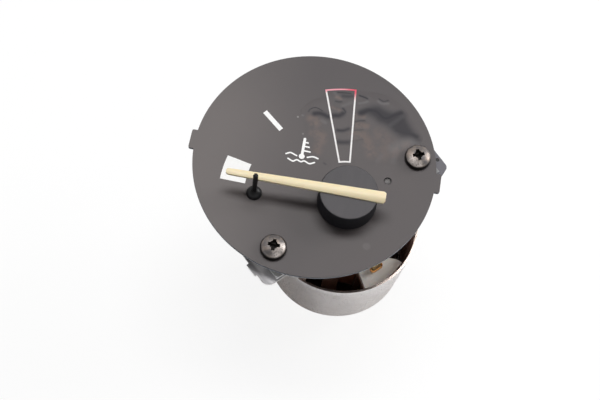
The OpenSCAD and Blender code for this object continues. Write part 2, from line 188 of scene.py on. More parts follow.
# The terminals: studs with an M4 thread behind their nuts, and blades that the wire is wound round in
# oblong turns. The thread's crest and flank are shares of the way from a crest's middle to a root's.
STUD_DIRECTIONS = (-42.5, 77.5, 197.5)
STUD_AT = 9.5
STUD_THREAD_R = 2.0
STUD_SHANK_R = 1.8
STUD_HEAD_R = 3.0
STUD_HEAD_H = 1.4
THREAD_PITCH = 0.7
THREAD_DEPTH = 0.38
THREAD_CHAMFER = 0.4
THREAD_CREST = 0.125
THREAD_FLANK = 0.625
THREAD_SIDES = 48
THREAD_STEPS = 140
WRAP_AT = 12.75
WRAP_TURNS = 3
WRAP_WIRE_R = 0.16
WRAP_HALF = (0.62, 1.42)
WRAP_CORNER_R = WRAP_HALF[0] - 0.05

# The windings: two split coils that cross round the bobbin, the inner one lower. A turn of wire has
# four points, each with a dent, and the turns lie unevenly.
COIL_CORE_HALF_W = 7.4
INNER_CORE_HALF_H = 4.2
OUTER_CORE_HALF_H = 7.0
COIL_T = 2.6
COIL_W = 3.4
COIL_SIDE = 3.55
COIL_CORNER_R = (0.6, 2.4)
COIL_WIRE_D = 0.2
COIL_DENTS = (0.06, 0.015, 0.0, 0.015)
COIL_UNEVEN = 0.01
COIL_SKIN_INSET = 0.02
COIL_SEED = 11

# The blistered film on the dial round the wedge. It swells over a slope along its rim, is creased
# where it is marked, and dips into the paint at the rim itself. Its marks are painted light on its
# creases:
# painted shade where they are dark, painted highlights where they are pale, and painted warm reflections.
# They are strokes with a strength, a width and knots, and patches with a strength, the width of their
# soft edge and knots. A stroke's edge is soft over a fixed width and a share of its own.
FILM_CENTRE = Vector((0.0, 17.5, 0.0))
FILM_OUTLINE = (
    (-14.1, 19.6), (-12.6, 16.6), (-10.6, 10.7), (-6.8, 7.0), (-2.0, 9.3), (4.0, 9.9), (9.6, 11.2),
    (10.7, 12.9), (14.3, 18.8), (11.4, 22.7), (8.9, 25.8), (5.1, 28.0), (-0.7, 28.3), (-6.3, 27.6),
    (-10.0, 24.9), (-13.2, 22.1),
)
FILM_STEPS = 18
FILM_RINGS = 64
FILM_FOOT = 0.03
FILM_SWELL = 0.08
FILM_SLOPE_W = 1.8
FILM_CREASE_H = 0.05
FILM_DARK_DEPTH = 0.03
FILM_CREASE_RIM_W = 0.8
FILM_RIM_DEPTH = 0.015
FILM_RIM_W = 0.3
STROKE_SOFT_W = 0.25
STROKE_SOFT_SHARE = 0.8
PAINTED_SHADE_PATCHES = (
    (0.62, 2.6, (
        (-1.2, 22.2), (-0.3, 23.2), (0.6, 24.2), (1.9, 24.9), (3.1, 25.1), (4.2, 24.7), (5.7, 24.3),
        (7.4, 24.4), (9.1, 24.5), (9.9, 23.0), (11.2, 21.2), (12.7, 19.6), (13.6, 18.6), (12.8, 18.0),
        (11.3, 18.4), (9.2, 18.3), (7.3, 19.1), (5.7, 20.2), (4.4, 20.6), (3.4, 20.9), (2.4, 21.6),
        (0.9, 22.2),
    )),
)
PAINTED_SHADE_STROKES = (
    (0.9, 0.2, ((-12.2, 20.1), (-11.9, 20.8), (-11.0, 21.4), (-10.0, 21.3), (-9.1, 20.9))),
    (0.7, 1.2, (
        (-10.8, 19.9), (-9.8, 20.2), (-8.7, 20.1), (-7.6, 19.8), (-6.3, 20.4), (-5.3, 20.6), (-4.6, 21.3),
    )),
    (0.7, 0.5, ((-4.8, 22.6), (-4.1, 21.8), (-4.5, 21.0))),
    (0.8, 0.3, ((-6.7, 26.3), (-5.5, 26.5), (-3.7, 26.7))),
    (0.55, 0.9, ((-5.3, 25.7), (-4.2, 25.8), (-3.3, 26.1))),
    (0.6, 0.4, ((-6.7, 24.0), (-5.9, 24.0), (-5.4, 24.2))),
    (0.8, 0.4, ((-1.7, 26.6), (-0.5, 26.4), (0.2, 26.2))),
    (0.7, 0.3, ((2.8, 26.7), (3.9, 26.3), (4.9, 26.8))),
    (0.72, 1.6, (
        (-0.6, 22.4), (1.1, 23.4), (2.8, 23.4), (4.4, 22.3), (5.6, 22.4), (6.7, 23.3), (8.2, 24.2),
    )),
    (0.64, 1.6, ((7.9, 19.8), (9.6, 19.5), (11.1, 19.6), (12.5, 19.1))),
    (0.6, 0.3, ((-1.6, 19.8), (-0.6, 20.3), (0.5, 20.6))),
    (0.5, 0.2, ((-1.3, 17.7), (0.5, 18.3))),
    (0.3, 0.2, ((-0.6, 15.4), (0.9, 15.9))),
    (0.65, 0.8, ((-5.0, 16.9), (-3.8, 17.1), (-2.7, 17.8))),
    (0.6, 1.1, ((-4.3, 14.1), (-3.3, 14.2), (-2.1, 14.5))),
    (0.6, 0.3, ((-6.6, 8.3), (-6.1, 8.1))),
)
PAINTED_HIGHLIGHT_STROKES = (
    (0.4, 0.5, ((-1.4, 24.6), (-0.2, 25.1), (0.3, 25.5))),
    (0.35, 0.5, ((2.7, 26.1), (3.6, 25.7), (5.0, 26.0))),
    (0.2, 0.7, ((-4.9, 23.2), (-3.8, 24.0), (-3.1, 24.5))),
    (0.2, 0.7, ((-7.3, 26.1), (-6.6, 25.5))),
    (0.25, 0.7, ((-8.8, 18.5), (-8.0, 18.2))),
    (0.15, 0.9, ((8.6, 23.5), (7.5, 22.1), (6.5, 20.9))),
    (0.3, 2.2, ((8.0, 15.2), (9.4, 16.4), (11.4, 17.4), (12.1, 17.0))),
    (0.12, 0.9, ((5.0, 11.4), (5.7, 12.9))),
    (0.12, 1.0, ((8.4, 11.9), (8.8, 14.3))),
    (0.5, 0.3, ((-13.5, 18.9), (-13.2, 18.9))),
)
PAINTED_WARM_REFLECTION_STROKES = (
    (0.9, 0.7, ((-6.7, 25.1), (-5.6, 24.9))),
    (0.9, 0.7, ((-7.0, 22.3), (-5.3, 21.8))),
    (0.9, 1.6, ((-11.5, 18.5), (-9.8, 18.2), (-10.4, 16.9))),
    (0.8, 1.9, ((-10.1, 15.1), (-8.1, 14.7), (-8.4, 12.7), (-8.5, 10.9))),
    (0.8, 0.9, ((-1.3, 21.4), (0.4, 21.5))),
    (0.9, 1.4, ((-0.9, 19.1), (1.2, 19.3))),
    (0.8, 2.1, ((-0.9, 16.7), (1.2, 16.7), (2.4, 14.7), (3.3, 12.8))),
    (0.45, 3.3, ((4.5, 17.8), (6.6, 16.0), (6.1, 13.4))),
    (0.7, 1.8, ((8.3, 14.0), (9.0, 15.6), (10.8, 16.8))),
)


# Meshes

class Shape:
    """Points in millimetres and faces, gathered for one piece."""

    def __init__(self):
        self.points = []
        self.faces = []

    def grid(self, rows, wrap_rows=False, wrap_columns=False, caps=False):
        """Quads between rows of points. caps closes the first and the last row."""
        base = len(self.points)
        count = len(rows[0])
        for row in rows:
            self.points += row
        for i in range(len(rows) if wrap_rows else len(rows) - 1):
            below = base + i * count
            above = base + (i + 1) % len(rows) * count
            for j in range(count if wrap_columns else count - 1):
                k = (j + 1) % count
                self.faces.append([below + j, below + k, above + k, above + j])
        if caps:
            last = base + (len(rows) - 1) * count
            self.faces.append([base + j for j in reversed(range(count))])
            self.faces.append([last + j for j in range(count)])

    def piece(self, name, body, finish, smooth=False, tints=None):
        """The shape as a piece that rides on a body. tints holds a value for each point, by name."""
        mesh = bpy.data.meshes.new(name)
        mesh.from_pydata([Vector(p) * MM for p in self.points], [], self.faces)
        work = bmesh.new()
        work.from_mesh(mesh)
        bmesh.ops.recalc_face_normals(work, faces=work.faces)
        work.to_mesh(mesh)
        work.free()
        for tint, values in (tints or {}).items():
            mesh.attributes.new(tint, "FLOAT", "POINT").data.foreach_set("value", values)
        mesh.materials.append(finish.data)
        for face in mesh.polygons:
            face.use_smooth = smooth
        if smooth:
            mesh.set_sharp_from_angle(angle=math.radians(SHARP_ANGLE))
        made = bpy.data.objects.new(name, mesh)
        bpy.context.scene.collection.objects.link(made)
        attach(made, body)
        return made


def polar(r, direction, z=0.0):
    """A point at a distance from the pointer's axis in a direction, at a height."""
    angle = math.radians(direction)
    return Vector((r * math.cos(angle), r * math.sin(angle), z))


def flat(spot):
    """A place on the dial as a vector."""
    return Vector((*spot, 0.0))


def arc(r, start, end, steps):
    """Points on the dial's face along an arc about the pointer's axis."""
    return [polar(r, start + (end - start) * i / steps) for i in range(steps + 1)]


def smooth_path(knots, steps=6, closed=False):
    """A path that curves through its knots."""
    knots = [flat(knot) for knot in knots]
    if closed:
        ends = [knots[-1], *knots, knots[0], knots[1]]
    else:
        ends = [knots[0] * 2 - knots[1], *knots, knots[-1] * 2 - knots[-2]]
    path = []
    for a, b, c, d in zip(ends, ends[1:], ends[2:], ends[3:]):
        bend = 2 * a - 5 * b + 4 * c - d
        twist = 3 * b - a - 3 * c + d
        for i in range(steps):
            t = i / steps
            path.append(0.5 * (2 * b + (c - a) * t + bend * t ** 2 + twist * t ** 3))
    return path if closed else path + [knots[-1]]


def fine_path(path, step):
    """The same closed path with points no further apart than step."""
    fine = []
    for start, end in zip(path, path[1:] + path[:1]):
        count = max(1, math.ceil((end - start).length / step))
        fine += [start.lerp(end, i / count) for i in range(count)]
    return fine


def line_stations(path, width, closed):
    """A line's points, each with the line's direction there and its half width along the mitre."""
    stations = []
    count = len(path)
    for i, point in enumerate(path):
        before = path[i - 1] if closed or i > 0 else None
        after = path[(i + 1) % count] if closed or i < count - 1 else None
        into = (point - before).normalized() if before else (after - point).normalized()
        out = (after - point).normalized() if after else into
        along = (into + out).normalized()
        mitre = 1 / max(along.dot(out), MITRE_LIMIT)
        stations.append((point, along, width / 2 * mitre))
    return stations


def rounded_ends(stations, width):
    """The stations with a half circle before the first and after the last."""
    half = width / 2
    ends = []
    for (point, along, _), sign in ((stations[0], -1), (stations[-1], 1)):
        end = []
        for turn in ROUND_END_TURNS:
            angle = math.radians(turn)
            end.append((point + along * half * math.sin(angle) * sign, along, half * math.cos(angle)))
        ends.append(end)
    return ends[0] + stations + ends[1][::-1]


def print_line(shape, path, width, closed=False, round_ends=False, lift=0.0, rises=None):
    """A flat line of ink along a path on the dial's face. rises gives what lies under its points."""
    stations = line_stations(path, width, closed)
    if round_ends:
        stations = rounded_ends(stations, width)
    lefts = [point + Vector((-along.y, along.x, 0.0)) * half for point, along, half in stations]
    rights = [point * 2 - left for (point, _, _), left in zip(stations, lefts)]
    edges = np.array([spot[:2] for spot in lefts + rights])
    under = rises(edges) if rises else np.zeros(len(edges))
    tops = [Vector((0.0, 0.0, DIAL_Z + INK_T + lift + rise)) for rise in under]
    foot = Vector((0.0, 0.0, DIAL_Z - INK_T))
    rows = []
    for left, right, left_top, right_top in zip(lefts, rights, tops, tops[len(lefts):]):
        rows.append([left + left_top, left + foot, right + foot, right + right_top])
    shape.grid(rows, wrap_rows=closed, wrap_columns=True, caps=not closed)


def tube(shape, path, radius, sides=8):
    """A round wire along a path of points in millimetres."""
    rows = []
    side = None
    count = len(path)
    for i, point in enumerate(path):
        ahead = (path[min(i + 1, count - 1)] - path[max(i - 1, 0)]).normalized()
        if side is None:
            side = ahead.orthogonal()
        side = (side - ahead * side.dot(ahead)).normalized()
        other = ahead.cross(side)
        rows.append([
            point + (side * math.cos(a) + other * math.sin(a)) * radius
            for a in (math.tau * k / sides for k in range(sides))
        ])
    shape.grid(rows, wrap_columns=True, caps=True)


def turned(shape, axis, rings):
    """A closed solid round an upright axis, from heights that each have the radii round it there."""
    rows = []
    for z, radii in rings:
        rows.append([axis + polar(r, 360 * i / len(radii), z) for i, r in enumerate(radii)])
    shape.grid(rows, wrap_columns=True, caps=True)


def rounded_loop(half_x, half_y, corner, steps=6):
    """The corners of a rounded rectangle, always with the same number of points."""
    loop = []
    for quarter, (side_x, side_y) in enumerate(((1, 1), (-1, 1), (-1, -1), (1, -1))):
        for i in range(steps + 1):
            turn = math.radians(90 * (quarter + i / steps))
            x = side_x * (half_x - corner) + corner * math.cos(turn)
            y = side_y * (half_y - corner) + corner * math.sin(turn)
            loop.append((x, y))
    return loop


# The film's fields, over arrays of points on the dial's face

def ease(share):
    """A smooth step from 0 to 1."""
    share = np.clip(share, 0.0, 1.0)
    return share * share * (3 - 2 * share)


def distance_to(points, path, closed=False):
    """How far each point is from a path."""
    nearest = np.full(len(points), np.inf)
    for start, end in zip(path, path[1:] + path[:1] if closed else path[1:]):
        start = np.array(start[:2])
        along = np.array(end[:2]) - start
        share = np.clip((points - start) @ along / (along @ along), 0.0, 1.0)
        nearest = np.minimum(nearest, np.linalg.norm(points - start - np.outer(share, along), axis=1))
    return nearest


def depth_in(points, outline):
    """How far each point is inside a closed outline, below 0 outside it."""
    inside = np.zeros(len(points), bool)
    for start, end in zip(outline, outline[1:] + outline[:1]):
        level = (start.y > points[:, 1]) != (end.y > points[:, 1])
        rise = end.y - start.y or 1.0
        crossing = start.x + (points[:, 1] - start.y) / rise * (end.x - start.x)
        inside ^= level & (points[:, 0] < crossing)
    return np.where(inside, 1.0, -1.0) * distance_to(points, outline, closed=True)


def stroke_field(points, strokes):
    """The strongest stroke at each point."""
    most = np.zeros(len(points))
    for strength, width, knots in strokes:
        depth = width / 2 - distance_to(points, smooth_path(knots))
        soft = STROKE_SOFT_W + STROKE_SOFT_SHARE * width
        most = np.maximum(most, strength * ease(0.5 + depth / soft))
    return most


def patch_field(points, patches):
    """The strongest patch at each point."""
    most = np.zeros(len(points))
    for strength, soft, knots in patches:
        depth = depth_in(points, smooth_path(knots, closed=True))
        most = np.maximum(most, strength * ease(0.5 + depth / soft))
    return most


def film_fields(points):
    """The film's painted shade, painted highlights and painted warm reflections at each point, and how
    far it stands off the dial.
    """
    dark = np.maximum(stroke_field(points, PAINTED_SHADE_STROKES), patch_field(points, PAINTED_SHADE_PATCHES))
    pale = stroke_field(points, PAINTED_HIGHLIGHT_STROKES)
    warm = stroke_field(points, PAINTED_WARM_REFLECTION_STROKES) * (1 - dark)
    depth = depth_in(points, smooth_path(FILM_OUTLINE, FILM_STEPS, closed=True))
    height = FILM_SWELL * ease(depth / FILM_SLOPE_W)
    creases = FILM_CREASE_H * warm + FILM_CREASE_H * pale - FILM_DARK_DEPTH * dark
    height += creases * ease(depth / FILM_CREASE_RIM_W)
    height -= FILM_RIM_DEPTH * (1 - ease(depth / FILM_RIM_W))
    return dark, pale, warm, height


def film_rise(points):
    """What the film adds under a line of ink."""
    return np.maximum(film_fields(points)[3], 0.0)


# Materials

def add_node(tree, kind, inputs, **properties):
    """A new shader node with its inputs set, or linked where the value is a socket."""
    made = tree.nodes.new("ShaderNode" + kind)
    for key, value in properties.items():
        setattr(made, key, value)
    for key, value in inputs.items():
        if isinstance(value, bpy.types.NodeSocket):
            tree.links.new(value, made.inputs[key])
        else:
            made.inputs[key].default_value = value
    return made


class Finish:
    """A material with one Principled shader. What is the same all over sits on the shader's sockets."""

    def __init__(self, name, colour, roughness, **settings):
        self.data = bpy.data.materials.new(name)
        self.data.use_nodes = True
        self.tree = self.data.node_tree
        self.shader = self.tree.nodes["Principled BSDF"]
        self.shader.inputs["Base Color"].default_value = (*colour, 1.0)
        self.shader.inputs["Roughness"].default_value = roughness
        for setting, value in settings.items():
            socket = setting.replace("_", " ").title().replace("Ior", "IOR")
            self.shader.inputs[socket].default_value = value
        self.normal = None

    def node(self, kind, inputs, **properties):
        """A new node in the material's tree."""
        return add_node(self.tree, kind, inputs, **properties)

    def use(self, socket, value):
        """Feeds a socket of the shader."""
        self.tree.links.new(value, self.shader.inputs[socket])

    def place(self, stretch=(1, 1, 1)):
        """Where a point is, in millimetres, drawn out along an axis by stretch."""
        coordinates = self.node("TexCoord", {}).outputs["Object"]
        scale = [1 / (MM * s) for s in stretch]
        return self.node("Mapping", {"Vector": coordinates, "Scale": scale}).outputs["Vector"]

    def spot(self):
        """Where a point is along X, Y and Z, in millimetres."""
        return self.node("SeparateXYZ", {0: self.place()}).outputs

    def facing_vector(self):
        """The way the surface faces."""
        return self.node("TexCoord", {}).outputs["Normal"]

    def facing(self):
        """How far the surface faces +X, +Y and +Z."""
        return self.node("SeparateXYZ", {0: self.facing_vector()}).outputs

    def reach(self, axis):
        """How far a point is from an upright axis, or from its nearest mirror image in X and Y."""
        spread = self.node("VectorMath", {0: self.place()}, operation="ABSOLUTE").outputs[0]
        apart = self.node("VectorMath", {0: spread, 1: (*axis, 0.0)}, operation="SUBTRACT").outputs[0]
        level = self.node("VectorMath", {0: apart, 1: (1.0, 1.0, 0.0)}, operation="MULTIPLY").outputs[0]
        return self.node("VectorMath", {0: level}, operation="LENGTH").outputs["Value"]

    def gap(self, spot):
        """How far a point is from a spot, in millimetres."""
        return self.node("VectorMath", {0: self.place(), 1: spot}, operation="DISTANCE").outputs["Value"]

    def grain(self, size, detail=3.0, stretch=(1, 1, 1)):
        """Noise from 0 to 1 whose features have a size in millimetres."""
        inputs = {"Vector": self.place(stretch), "Scale": 1 / size, "Detail": detail}
        return self.node("TexNoise", inputs).outputs["Fac"]

    def specks(self, spacing, radius):
        """1 inside small round specks, and 0 elsewhere."""
        inputs = {"Vector": self.place(), "Scale": 1 / spacing, "Randomness": 1.0}
        distance = self.node("TexVoronoi", inputs).outputs["Distance"]
        return self.between(distance, radius / spacing, 0.5 * radius / spacing)

    def attribute(self, name):
        """The value that a piece's points carry under a name."""
        return self.node("Attribute", {}, attribute_name=name).outputs["Fac"]

    def between(self, value, low, high, to_low=0.0, to_high=1.0):
        """to_low up to low and to_high from high on, with a smooth step between them."""
        inputs = {"Value": value, "From Min": low, "From Max": high, "To Min": to_low, "To Max": to_high}
        return self.node("MapRange", inputs, interpolation_type="SMOOTHSTEP").outputs["Result"]

    def maths(self, operation, first, second=0.0):
        """What one operation makes of two numbers, each a value or a socket."""
        return self.node("Math", {0: first, 1: second}, operation=operation).outputs[0]

    def mix(self, share, first, second):
        """A colour between two, each a colour or a socket."""
        inputs = {0: share}
        for index, value in ((6, first), (7, second)):
            inputs[index] = value if isinstance(value, bpy.types.NodeSocket) else (*value, 1.0)
        return self.node("Mix", inputs, data_type="RGBA").outputs[2]

    def relief(self, height, depth):
        """Fine relief, where a height of 1 stands depth millimetres proud."""
        inputs = {"Height": height, "Distance": depth * MM}
        if self.normal:
            inputs["Normal"] = self.normal
        self.normal = self.node("Bump", inputs).outputs["Normal"]
        self.use("Normal", self.normal)

    def round_edges(self, radius):
        """Catches light along sharp edges, as a small radius does."""
        self.normal = self.node("Bevel", {"Radius": radius * MM}, samples=4).outputs["Normal"]
        self.use("Normal", self.normal)


def dusty_paint_and_painted_light(finish):
    """Dark grey with a warm cloudiness, dust and spots, a painted sheen at the left and painted shade at
    the top.
    """
    clouds = finish.grain(11, 3)
    tone = finish.mix(clouds, (0.069, 0.059, 0.061), (0.08, 0.067, 0.066))
    # A painted sheen, paler to the left
    painted_light_left = finish.between(finish.spot()[0], *PAINT_SHEEN_X, 1.0, 0.0)
    tone = finish.mix(painted_light_left, tone, (0.125, 0.109, 0.106))
    # Painted shade, darker to the top
    painted_shade_top = finish.between(finish.spot()[1], *PAINT_SHADE_Y)
    tone = finish.mix(finish.maths("MULTIPLY", painted_shade_top, 0.3), tone, (0.045, 0.04, 0.044))
    dust = finish.maths("MULTIPLY", finish.specks(2.6, 0.08), 0.3)
    tone = finish.mix(dust, tone, (0.26, 0.25, 0.24))
    for spot, size, strength in DIAL_SPOTS:
        mark = finish.between(finish.gap((*spot, DIAL_Z)), 0.5 * size, size, strength, 0.0)
        tone = finish.mix(mark, tone, (0.3, 0.29, 0.28))
    return tone


def paint_relief(finish):
    finish.relief(finish.grain(0.11, 2), 0.005)
    finish.relief(finish.grain(4, 2), 0.015)


def painted_sheet():
    """The dial's matt paint, and the sheet's edge, dark with paint above and grey below."""
    finish = Finish("dial_paint", PAINT_GREY, 0.5, specular_ior_level=0.4)
    tone = dusty_paint_and_painted_light(finish)
    level = finish.between(finish.maths("ABSOLUTE", finish.facing()[2]), 0.3, 0.7)
    high = finish.between(finish.spot()[2], *PAINT_EDGE_Z)
    edge = finish.mix(high, (0.3, 0.32, 0.37), (0.012, 0.012, 0.013))
    finish.use("Base Color", finish.mix(level, edge, tone))
    paint_relief(finish)
    return finish


def painted_film():
    """The same paint on the blistered film, with its painted shade, painted highlights and painted warm
    reflections, and duller under the painted shade.
    """
    finish = Finish("film_paint", PAINT_GREY, 0.5, specular_ior_level=0.4)
    mottle = finish.between(finish.grain(1.4, 4), 0.25, 0.6)
    # The painted warm reflections, painted shade and painted highlights that the film's points carry
    warm = finish.maths("MULTIPLY", finish.attribute("warm"), mottle)
    dark = finish.attribute("dark")
    tone = finish.mix(warm, dusty_paint_and_painted_light(finish), (0.124, 0.089, 0.078))
    tone = finish.mix(dark, tone, (0.026, 0.027, 0.035))
    tone = finish.mix(finish.attribute("pale"), tone, (0.16, 0.155, 0.16))
    finish.use("Base Color", tone)
    finish.use("Specular IOR Level", finish.between(dark, 0.0, 1.0, 0.4, 0.05))
    paint_relief(finish)
    return finish


def white_ink():
    finish = Finish("white_ink", (0.95, 0.95, 0.94), 0.5)
    thin = finish.between(finish.grain(0.7, 3), 0.3, 0.7)
    finish.use("Base Color", finish.mix(thin, (0.94, 0.935, 0.925), (0.97, 0.97, 0.96)))
    finish.relief(finish.grain(0.1, 2), 0.003)
    return finish


def wedge_ink():
    """White ink that turns pink and red towards the hot end of the wedge."""
    finish = Finish("wedge_ink", (0.85, 0.8, 0.8), 0.5)
    radius = finish.reach(POINTER_AXIS)
    hot = finish.between(radius, *WEDGE_RED_R_RIGHT)
    late = finish.between(radius, *WEDGE_RED_R_LEFT)
    right = finish.between(finish.spot()[0], *WEDGE_SIDES_X)
    red = finish.node("Mix", {0: right, 2: late, 3: hot}).outputs[0]
    thin = finish.between(finish.grain(0.5, 4), 0.35, 0.6)
    white = finish.mix(thin, (0.83, 0.8, 0.79), (0.9, 0.88, 0.87))
    pink = finish.mix(right, (0.82, 0.3, 0.36), (0.72, 0.07, 0.12))
    finish.use("Base Color", finish.mix(red, white, pink))
    finish.relief(finish.grain(0.1, 2), 0.003)
    return finish


def cream_plastic():
    finish = Finish("pointer_cream", (0.9, 0.8, 0.62), 0.42, subsurface_weight=0.15)
    finish.shader.inputs["Subsurface Radius"].default_value = (0.6 * MM, 0.4 * MM, 0.2 * MM)
    finish.round_edges(0.1)
    clouds = finish.grain(3, 3, (4, 1, 1))
    finish.use("Base Color", finish.mix(clouds, (0.87, 0.745, 0.48), (0.92, 0.8, 0.54)))
    finish.relief(finish.grain(0.15, 2), 0.005)
    return finish


def cap_plastic():
    """Moulded black, with the top painted grey as a sheen of the light, painted shade along the top's
    rim, and darker sides.
    """
    finish = Finish("cap_plastic", (0.03, 0.03, 0.032), 0.6, specular_ior_level=0.25)
    # Painted sheen: faces that look up are painted grey, and the sides keep the black
    face = finish.between(finish.facing()[2], 0.5, 0.85)
    streaks = finish.between(finish.grain(1.3, 4, (1, 6, 1)), 0.25, 0.75)
    grey = finish.mix(streaks, (0.088, 0.083, 0.088), (0.096, 0.091, 0.096))
    # Painted shade along the rim of the top
    rim = finish.between(finish.reach(POINTER_AXIS), *CAP_RIM_R)
    grey = finish.mix(rim, grey, (0.02, 0.019, 0.021))
    finish.use("Base Color", finish.mix(face, (0.004, 0.004, 0.006), grey))
    finish.round_edges(0.06)
    finish.relief(finish.grain(0.16, 3), 0.008)
    return finish


def peg_plastic():
    finish = Finish("peg_plastic", (0.004, 0.004, 0.005), 0.4, specular_ior_level=0.25)
    flow = finish.grain(0.8, 3)
    finish.use("Base Color", finish.mix(flow, (0.003, 0.003, 0.004), (0.007, 0.007, 0.008)))
    finish.round_edges(0.05)
    finish.relief(finish.grain(0.2, 3), 0.006)
    return finish


def grey_plastic(name, dark, pale, painted_light_left):
    """Moulded grey, painted paler at the left where the dial shades it."""
    finish = Finish(name, pale, 0.45)
    tone = finish.mix(finish.grain(3, 3), dark, pale)
    # Painted light: paler at the left, where the dial shades the frame
    finish.use("Base Color", finish.mix(finish.between(finish.spot()[0], *FRAME_PAINTED_LIGHT_X), painted_light_left, tone))
    finish.round_edges(0.06)
    finish.relief(finish.grain(0.25, 3), 0.006)
    return finish


def nylon(name, dark, pale):
    """Moulded nylon that lets light a little way in, clouded between two colours."""
    finish = Finish(name, pale, 0.38, subsurface_weight=0.2)
    finish.shader.inputs["Subsurface Radius"].default_value = (1.2 * MM, 0.9 * MM, 0.6 * MM)
    clouds = finish.grain(4, 3)
    finish.use("Base Color", finish.mix(clouds, dark, pale))
    finish.round_edges(0.12)
    finish.relief(finish.grain(0.3, 3), 0.008)
    return finish


def gunmetal():
    """Dark plated steel with a patina, painted highlights in places, painted shade on the sides, and
    painted shade that makes the recess almost black.
    """
    finish = Finish("blackened_steel", (0.13, 0.12, 0.115), 0.38, metallic=1.0)
    patina = finish.between(finish.grain(1.1, 5), 0.35, 0.7)
    tone = finish.mix(patina, (0.14, 0.13, 0.13), (0.28, 0.235, 0.205))
    highlight_mottle = finish.grain(0.35, 3)
    # Painted highlights at the listed places, broken up by noise
    for spot in SCREW_PAINTED_HIGHLIGHTS:
        near = finish.between(finish.gap(spot), *SCREW_PAINTED_HIGHLIGHT_R, 1.0, 0.0)
        painted_highlight = finish.maths("MULTIPLY", near, finish.between(highlight_mottle, 0.25, 0.6))
        tone = finish.mix(painted_highlight, tone, (0.55, 0.5, 0.47))
    # Painted shade on the sides of the heads
    crown = finish.between(finish.facing()[2], 0.3, 0.75)
    tone = finish.mix(crown, (0.035, 0.033, 0.032), tone)
    # Painted shade that makes the cross recess almost black and without sheen
    middle = finish.between(finish.reach(SCREW_AT), SCREW_RECESS_R - 0.1, SCREW_RECESS_R, 1.0, 0.0)
    sunk = finish.between(finish.spot()[2], SCREW_RECESS_Z - 0.2, SCREW_RECESS_Z, 1.0, 0.0)
    recess = finish.maths("MULTIPLY", middle, sunk)
    finish.use("Base Color", finish.mix(recess, tone, (0.03, 0.028, 0.026)))
    bare = finish.maths("SUBTRACT", 1.0, recess)
    finish.use("Metallic", bare)
    finish.use("Specular IOR Level", finish.maths("MULTIPLY", bare, 0.5))
    finish.use("Roughness", finish.between(finish.grain(0.35, 4), 0.3, 0.7, 0.34, 0.46))
    finish.round_edges(0.03)
    finish.relief(finish.grain(0.12, 3), 0.005)
    return finish


def ear_tone_with_painted_light(finish):
    """The ears' dull plating with painted light: the left ear painted palest where the dial shades it and
    darker towards its lit edge, the right ear much darker.
    """
    along = finish.spot()[0]
    left = finish.mix(finish.between(along, *EAR_PAINTED_LIGHT_X), (0.9, 0.88, 0.9), (0.6, 0.585, 0.6))
    edge = finish.between(finish.reach(POINTER_AXIS), *EAR_PAINTED_SHADE_R)
    left = finish.mix(edge, left, (0.4, 0.39, 0.4))
    return finish.mix(finish.between(along, *EAR_SIDES_X), left, (0.11, 0.106, 0.12))


def can_steel():
    """Tin-plated drawn sheet: satin, with fine draw lines down the wall, and warm and dull inside."""
    finish = Finish("can_steel", (0.74, 0.715, 0.71), 0.26, metallic=1.0)
    z = finish.spot()[2]
    level = finish.between(finish.facing()[2], 0.7, 0.9)
    stains = finish.between(finish.grain(7, 4), 0.5, 0.8)
    tone = finish.mix(stains, (0.79, 0.765, 0.765), (0.69, 0.66, 0.65))
    # Inside the can: dull, and tinted warm, partly as brown lacquer and partly as a painted reflection of
    # the copper windings
    ways = {0: finish.facing_vector(), 1: finish.place()}
    outward = finish.node("VectorMath", ways, operation="DOT_PRODUCT").outputs["Value"]
    inside = finish.between(outward, -6.0, -2.0, 1.0, 0.0)
    tone = finish.mix(inside, tone, (0.8, 0.58, 0.52))
    # A painted warm reflection on the rim's top face, as the tint of its highlight
    rim = finish.maths("MULTIPLY", level, finish.between(z, *RIM_LOOK_Z))
    tone = finish.mix(rim, tone, (0.64, 0.55, 0.5))
    # The ears take the plating tone with its painted light and painted shade
    ear = finish.maths("MULTIPLY", level, finish.between(z, *EAR_LOOK_Z))
    finish.use("Base Color", finish.mix(ear, tone, ear_tone_with_painted_light(finish)))
    dulled = finish.maths("MULTIPLY", finish.maths("MAXIMUM", ear, inside), 0.8)
    finish.use("Metallic", finish.maths("SUBTRACT", 1.0, dulled))
    lines = finish.grain(0.12, 3, (1, 1, 40))
    drawn = finish.between(lines, 0.2, 0.8, 0.2, 0.31)
    finish.use("Roughness", finish.maths("ADD", drawn, finish.maths("MULTIPLY", ear, 0.3)))
    finish.round_edges(0.05)
    finish.relief(lines, 0.003)
    return finish


def enamelled_copper():
    finish = Finish("enamelled_wire", (0.4, 0.19, 0.11), 0.3, coat_weight=0.6, metallic=0.35)
    turns = finish.grain(0.6, 3)
    finish.use("Base Color", finish.mix(turns, (0.36, 0.17, 0.1), (0.46, 0.22, 0.13)))
    finish.relief(finish.grain(0.2, 2), 0.004)
    return finish


def bare_copper():
    finish = Finish("copper_wire", (0.66, 0.32, 0.12), 0.25, metallic=1.0)
    tin = finish.between(finish.grain(0.6, 3), 0.55, 0.75)
    finish.use("Base Color", finish.mix(tin, (0.68, 0.33, 0.11), (0.72, 0.55, 0.36)))
    finish.relief(finish.grain(0.15, 2), 0.004)
    return finish


def brass():
    finish = Finish("brass", (0.72, 0.56, 0.27), 0.3, metallic=1.0)
    tarnish = finish.between(finish.grain(1.6, 4), 0.4, 0.8)
    finish.use("Base Color", finish.mix(tarnish, (0.74, 0.58, 0.29), (0.58, 0.43, 0.2)))
    finish.use("Roughness", finish.between(tarnish, 0.0, 1.0, 0.24, 0.4))
    finish.round_edges(0.06)
    finish.relief(finish.grain(0.1, 3, (1, 1, 0.2)), 0.003)
    return finish


